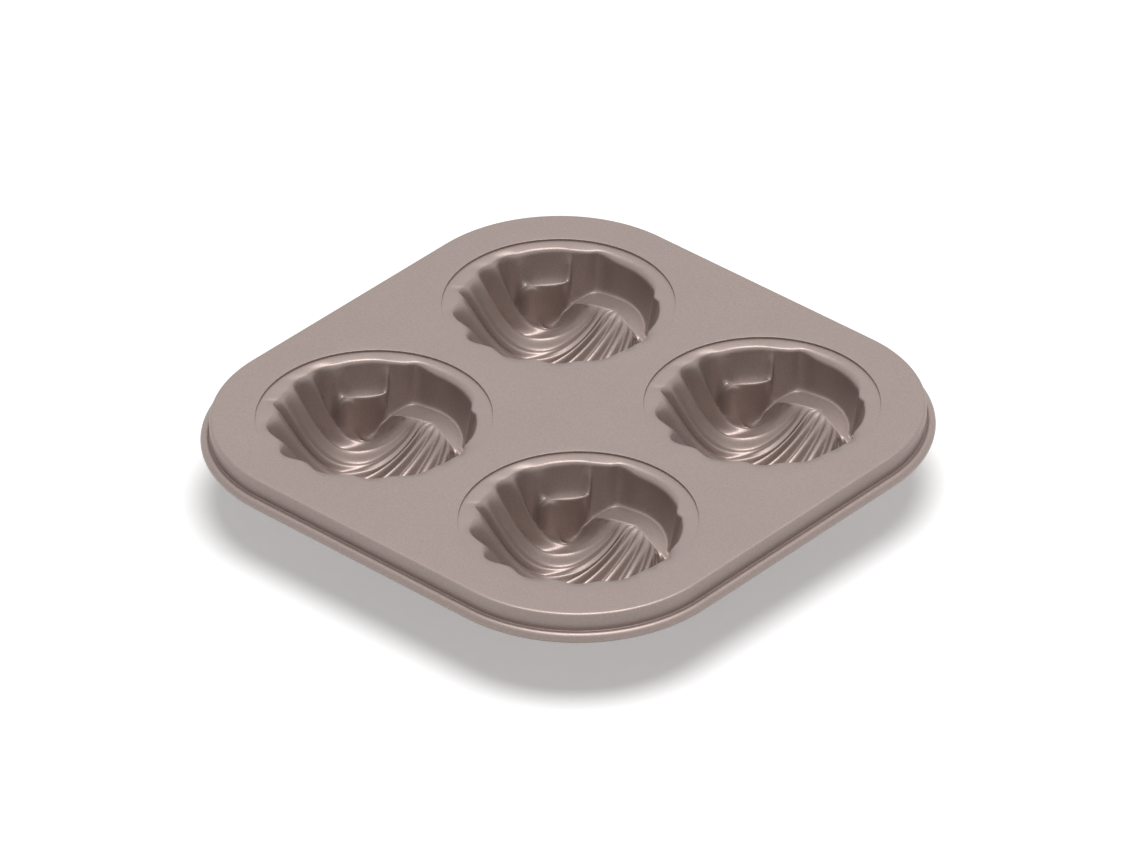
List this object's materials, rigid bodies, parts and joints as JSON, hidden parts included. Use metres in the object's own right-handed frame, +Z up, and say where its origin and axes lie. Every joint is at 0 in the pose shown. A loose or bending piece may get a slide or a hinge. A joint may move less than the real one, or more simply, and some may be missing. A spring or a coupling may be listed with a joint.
{
  "type": "mini muffin pan",
  "caption": "Square sheet-metal baking pan with rolled edge and scallop-shell cups crimped into its top.",
  "frame": {"origin": "centre of the pan at the height of the surface it stands on", "axes": "+Z up out of the cups, +Y from the fluted fronts of the shells towards their hinges, +X to the right"},
  "size_m": [0.182, 0.182, 0.0276],
  "materials": {
    "tray_coating": "satin metallic non-stick coating on sheet steel",
    "cup_coating": "satin metallic non-stick coating on sheet steel",
    "wire_steel": "plain steel wire, hidden in the rolled edge"
  },
  "bodies": {
    "root": {"tray_plate": "tray_coating", "rim_wire": "wire_steel", "cup_back_left": "cup_coating", "cup_front_left": "cup_coating", "cup_back_right": "cup_coating", "cup_front_right": "cup_coating"}
  },
  "joints": []
}
